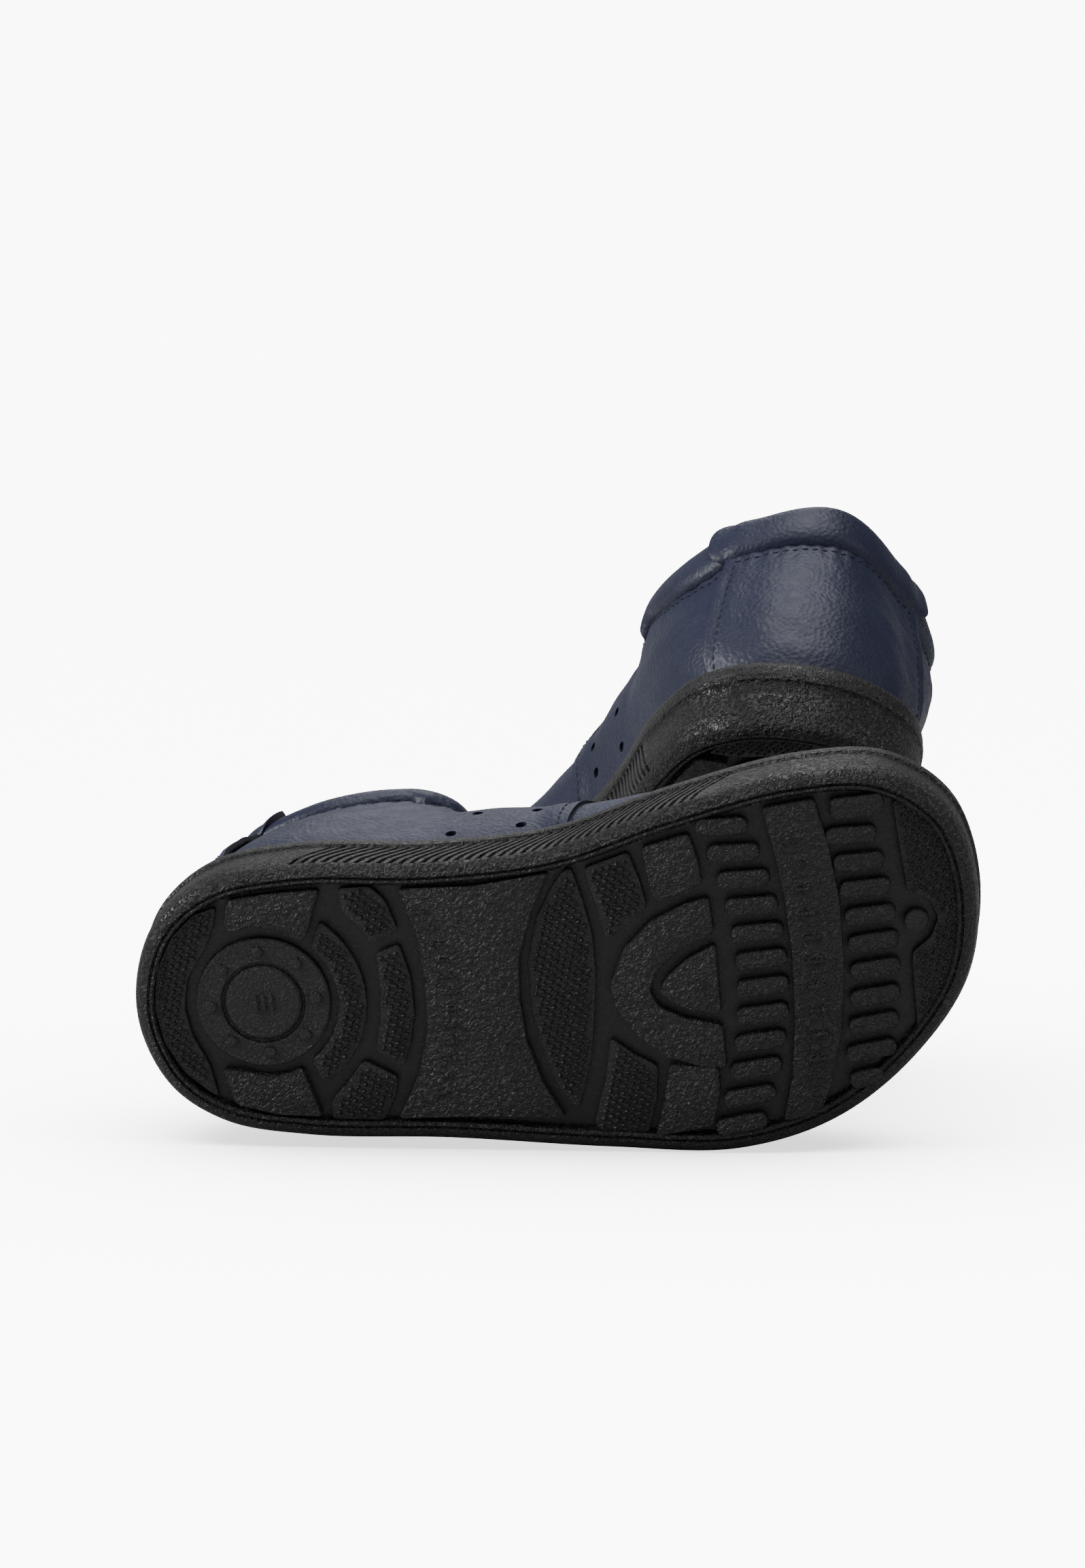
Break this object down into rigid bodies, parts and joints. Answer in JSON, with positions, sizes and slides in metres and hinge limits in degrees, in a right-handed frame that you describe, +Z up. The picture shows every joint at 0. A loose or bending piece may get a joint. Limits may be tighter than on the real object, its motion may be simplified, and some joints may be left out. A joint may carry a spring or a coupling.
{
  "type": "pair of children's shoes",
  "caption": "Pair of small navy leather shoes on black rubber cup soles with padded collars and closure straps, lying with one heel leaning on the other shoe.",
  "frame": {"origin": "middle of the pair's box in plan, on the ground plane", "axes": "+Z up; +X along the front shoe roughly from heel to toe; the front shoe's sole faces -Y"},
  "size_m": [0.1686, 0.2056, 0.1252],
  "materials": {
    "sole_rubber": "moulded, fine grain",
    "navy_leather": "smooth grain, satin",
    "lining_fabric": "woven",
    "footbed_fabric": "woven",
    "insole_board": "matt fibre board",
    "collar_foam": "open foam",
    "closure_tape": "hook and loop pile"
  },
  "bodies": {
    "left_shoe": {"left_outsole": "sole_rubber", "left_insole_board": "insole_board", "left_footbed": "footbed_fabric", "left_heel_counter": "insole_board", "left_toe_puff": "insole_board", "left_quarter_lining": "lining_fabric", "left_vamp_lining": "lining_fabric", "left_collar_foam": "collar_foam", "left_vamp": "navy_leather", "left_inner_quarter": "navy_leather", "left_outer_quarter": "navy_leather", "left_heel_panel": "navy_leather", "left_heel_collar": "navy_leather", "left_inner_collar": "navy_leather", "left_outer_collar": "navy_leather", "left_tongue": "navy_leather", "left_rear_loop_pad": "closure_tape", "left_front_loop_pad": "closure_tape"},
    "right_shoe": {"right_outsole": "sole_rubber", "right_insole_board": "insole_board", "right_footbed": "footbed_fabric", "right_heel_counter": "insole_board", "right_toe_puff": "insole_board", "right_quarter_lining": "lining_fabric", "right_vamp_lining": "lining_fabric", "right_collar_foam": "collar_foam", "right_vamp": "navy_leather", "right_inner_quarter": "navy_leather", "right_outer_quarter": "navy_leather", "right_heel_panel": "navy_leather", "right_heel_collar": "navy_leather", "right_inner_collar": "navy_leather", "right_outer_collar": "navy_leather", "right_tongue": "navy_leather", "right_rear_loop_pad": "closure_tape", "right_front_loop_pad": "closure_tape"},
    "left_rear_strap_body": {"left_rear_strap": "navy_leather", "left_rear_hook_pad": "closure_tape"},
    "left_front_strap_body": {"left_front_strap": "navy_leather", "left_front_hook_pad": "closure_tape"},
    "right_rear_strap_body": {"right_rear_strap": "navy_leather", "right_rear_hook_pad": "closure_tape"},
    "right_front_strap_body": {"right_front_strap": "navy_leather", "right_front_hook_pad": "closure_tape"}
  },
  "joints": [
    {"name": "right_shoe_lift", "type": "slide", "parent": "left_shoe", "child": "right_shoe", "axis": [0, 0, 1], "range_m": [0, 0.15]},
    {"name": "left_rear_strap_hinge", "type": "hinge", "parent": "left_shoe", "child": "left_rear_strap_body", "pos_m": [-0.01039, -0.04378, 0.06279], "axis": [0.9719, 0.1213, -0.202], "range_deg": [0, 90]},
    {"name": "left_front_strap_hinge", "type": "hinge", "parent": "left_shoe", "child": "left_front_strap_body", "pos_m": [0.00595, -0.04777, 0.06182], "axis": [0.8847, -0.462, 0.0626], "range_deg": [0, 60]},
    {"name": "right_rear_strap_hinge", "type": "hinge", "parent": "right_shoe", "child": "right_rear_strap_body", "pos_m": [0.02054, 0.03715, 0.09047], "axis": [0.0009, -0.9048, 0.4259], "range_deg": [0, 90]},
    {"name": "right_front_strap_hinge", "type": "hinge", "parent": "right_shoe", "child": "right_front_strap_body", "pos_m": [0.01635, 0.0492, 0.07947], "axis": [0.4125, -0.5228, 0.7461], "range_deg": [0, 60]}
  ]
}
